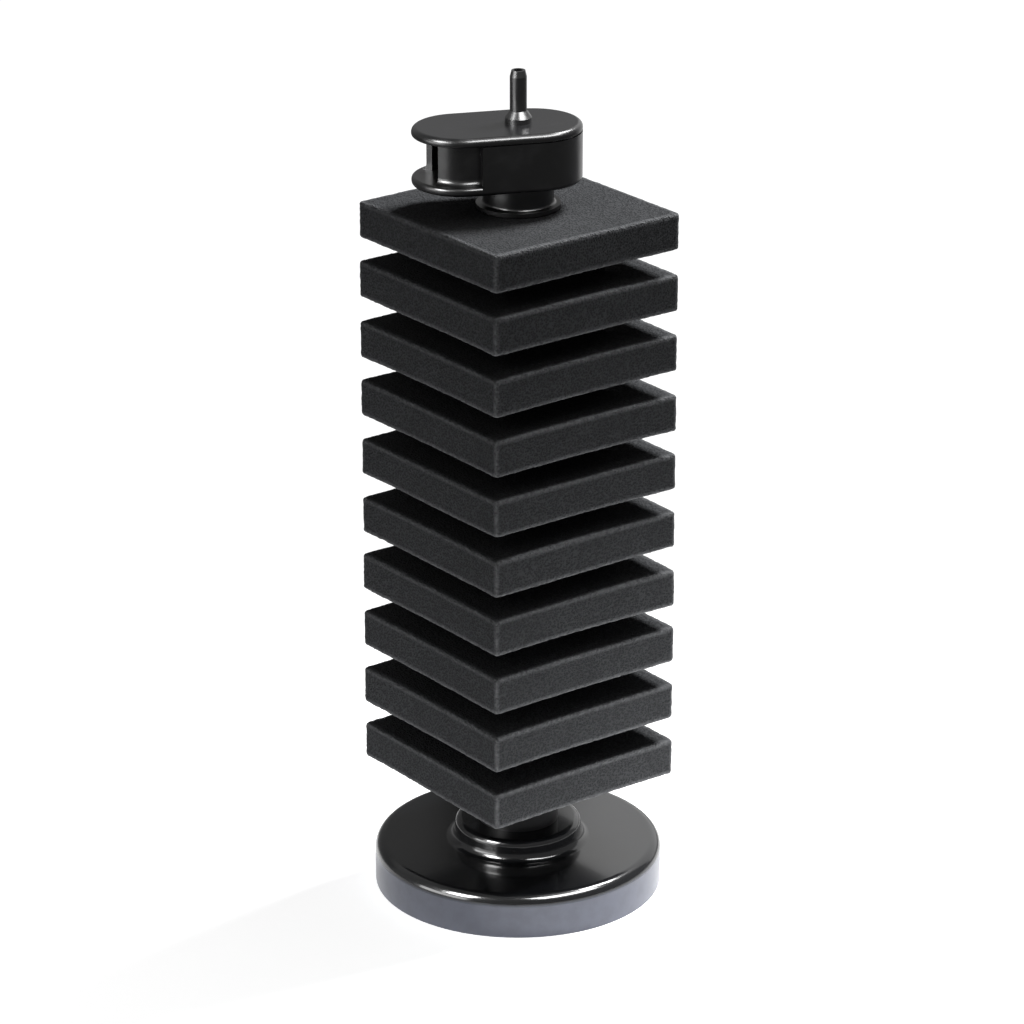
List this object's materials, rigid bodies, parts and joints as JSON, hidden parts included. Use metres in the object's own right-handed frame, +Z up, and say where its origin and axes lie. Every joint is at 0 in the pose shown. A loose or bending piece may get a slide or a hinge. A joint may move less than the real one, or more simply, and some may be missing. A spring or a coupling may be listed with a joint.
{
  "type": "sponge filter",
  "caption": "Air-driven aquarium sponge filter: finned square foam column on a slotted core, weighted round base and a swivelling flat outlet head with an air nipple.",
  "frame": {"origin": "centre of the base's underside, on the axis of the core", "axes": "+Z up along the core's axis; foam faces square to X and Y; at rest the head's mouth points to 157 degrees from +X about +Z"},
  "size_m": [0.086, 0.086, 0.2516],
  "materials": {
    "base_plastic": "gloss",
    "head_plastic": "satin",
    "core_plastic": "satin",
    "foam": "matte",
    "ballast": "matte",
    "air_plastic": "satin",
    "diffuser_plastic": "matte"
  },
  "bodies": {
    "base": {"base_cover": "base_plastic", "base_weight": "ballast", "base_bottom_plate": "core_plastic"},
    "strainer": {"strainer_foot": "core_plastic", "strainer_section_lower": "core_plastic", "strainer_section_middle": "core_plastic", "strainer_section_upper": "core_plastic"},
    "foam": {"foam_block": "foam"},
    "riser": {"riser_tube": "head_plastic"},
    "head": {"head_body": "head_plastic", "head_cover": "head_plastic", "air_nipple": "head_plastic", "air_down_tube": "air_plastic", "air_diffuser": "diffuser_plastic"}
  },
  "joints": [
    {"name": "column_lift", "type": "slide", "parent": "base", "child": "strainer", "axis": [0, 0, 1], "range_m": [0, 0.02]},
    {"name": "foam_lift", "type": "slide", "parent": "strainer", "child": "foam", "axis": [0, 0, 1], "range_m": [0, 0.19]},
    {"name": "head_lift", "type": "slide", "parent": "foam", "child": "riser", "axis": [0, 0, 1], "range_m": [0, 0.19]},
    {"name": "head_swivel", "type": "hinge", "parent": "riser", "child": "head", "pos_m": [0, 0, 0.2194], "axis": [0, 0, 1], "continuous": true}
  ]
}
